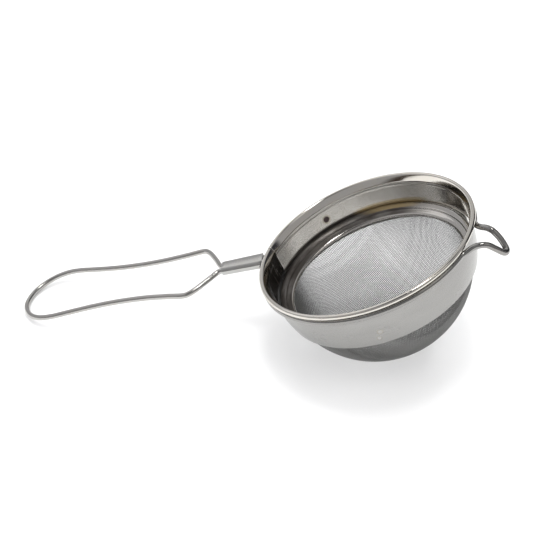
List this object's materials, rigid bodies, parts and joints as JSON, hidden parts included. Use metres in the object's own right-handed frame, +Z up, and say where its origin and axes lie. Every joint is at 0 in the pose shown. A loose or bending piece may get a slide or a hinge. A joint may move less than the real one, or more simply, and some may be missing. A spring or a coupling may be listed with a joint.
{
  "type": "tea strainer",
  "caption": "Handheld tea strainer: steel band with a curled lip around a fine woven mesh bowl, wire handle loop joined by a flat ferrule, and a wire rest ear opposite the handle.",
  "frame": {"origin": "centre of the bounding box's base, on the table the strainer lies on", "axes": "+Z up from the table, -X toward the handle's round end, +X toward the rest ear; the bowl leans toward the handle by about 19 degrees, resting on the mesh and on the handle's tip"},
  "size_m": [0.1774, 0.074, 0.0538],
  "materials": {
    "polished_band_steel": "bright polished stainless sheet with faint rolling marks",
    "ring_steel": "bright pressed stainless sheet",
    "mesh_steel": "plain woven stainless wire cloth, satin",
    "rim_wire_steel": "bright drawn stainless wire",
    "handle_wire_steel": "bright drawn stainless wire",
    "ferrule_steel": "flattened stainless sleeve, lightly brushed"
  },
  "bodies": {
    "root": {"strainer_band": "polished_band_steel", "mesh_ring": "ring_steel", "mesh_bowl": "mesh_steel", "rim_wire": "rim_wire_steel", "handle_wire": "handle_wire_steel", "handle_ferrule": "ferrule_steel"}
  },
  "joints": []
}
